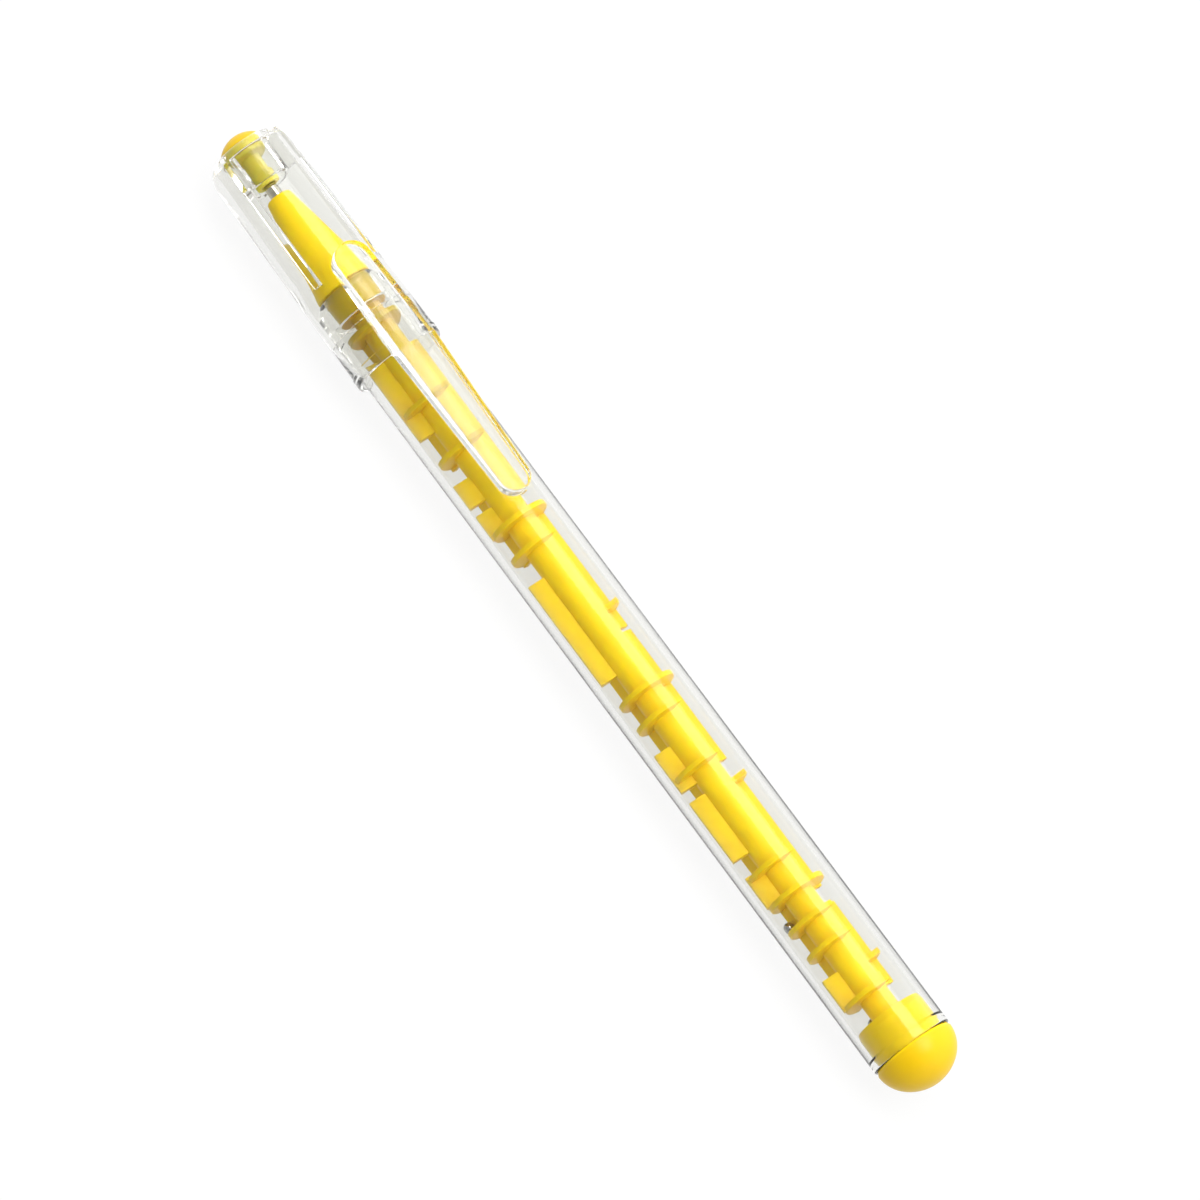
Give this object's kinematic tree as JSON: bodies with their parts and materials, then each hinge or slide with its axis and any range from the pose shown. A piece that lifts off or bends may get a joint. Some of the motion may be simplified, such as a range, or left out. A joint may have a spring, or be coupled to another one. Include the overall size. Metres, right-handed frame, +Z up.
{
  "type": "capped maze ballpoint pen",
  "caption": "Capped ballpoint pen with a clear barrel over a moulded yellow maze core, loose steel balls inside, a clear cap with a long clip, and domed yellow end plugs.",
  "frame": {"origin": "under the middle of the pen's length, on the level of the cap lip's lowest facet, which is what the pen lies on", "axes": "+X along the pen from the cap's dome to the tail plug, +Z up on the side of the clip, and +Y across the pen"},
  "size_m": [0.15, 0.0126, 0.0149],
  "materials": {
    "clear_polystyrene": "polished",
    "yellow_plastic": "gloss",
    "natural_polypropylene": "satin",
    "ink": "gloss",
    "nickel_silver": "satin",
    "polished_steel": "polished"
  },
  "bodies": {
    "barrel": {"barrel_tube": "clear_polystyrene", "maze_core": "yellow_plastic", "nose_cone": "yellow_plastic", "tail_plug": "yellow_plastic", "refill_tube": "natural_polypropylene", "ink_column": "ink", "metal_point": "nickel_silver"},
    "cap": {"cap_body": "clear_polystyrene", "cap_plug": "yellow_plastic"},
    "clip": {"clip_arm": "clear_polystyrene"},
    "maze_ball_1": {"maze_ball_1": "polished_steel"},
    "maze_ball_2": {"maze_ball_2": "polished_steel"},
    "writing_ball": {"writing_ball": "polished_steel"}
  },
  "joints": [
    {"name": "cap_pull", "type": "slide", "parent": "barrel", "child": "cap", "axis": [-1, 0, 0], "range_m": [0, 0.04]},
    {"name": "clip_flex", "type": "hinge", "parent": "cap", "child": "clip", "pos_m": [-0.03875, 0, 0.01334], "axis": [0, -1, 0], "range_deg": [0, 4], "stiffness_Nm_per_rad": 0.03},
    {"name": "ball_roll_1", "type": "hinge", "parent": "barrel", "child": "maze_ball_1", "pos_m": [0, 0, 0.00631], "axis": [-1, 0, 0], "range_deg": [0, 225]},
    {"name": "ball_roll_2", "type": "hinge", "parent": "barrel", "child": "maze_ball_2", "pos_m": [0, 0, 0.00631], "axis": [-1, 0, 0], "continuous": true},
    {"name": "point_ball_spin", "type": "hinge", "parent": "barrel", "child": "writing_ball", "pos_m": [-0.0687, 0, 0.00631], "axis": [1, 0, 0], "continuous": true}
  ]
}
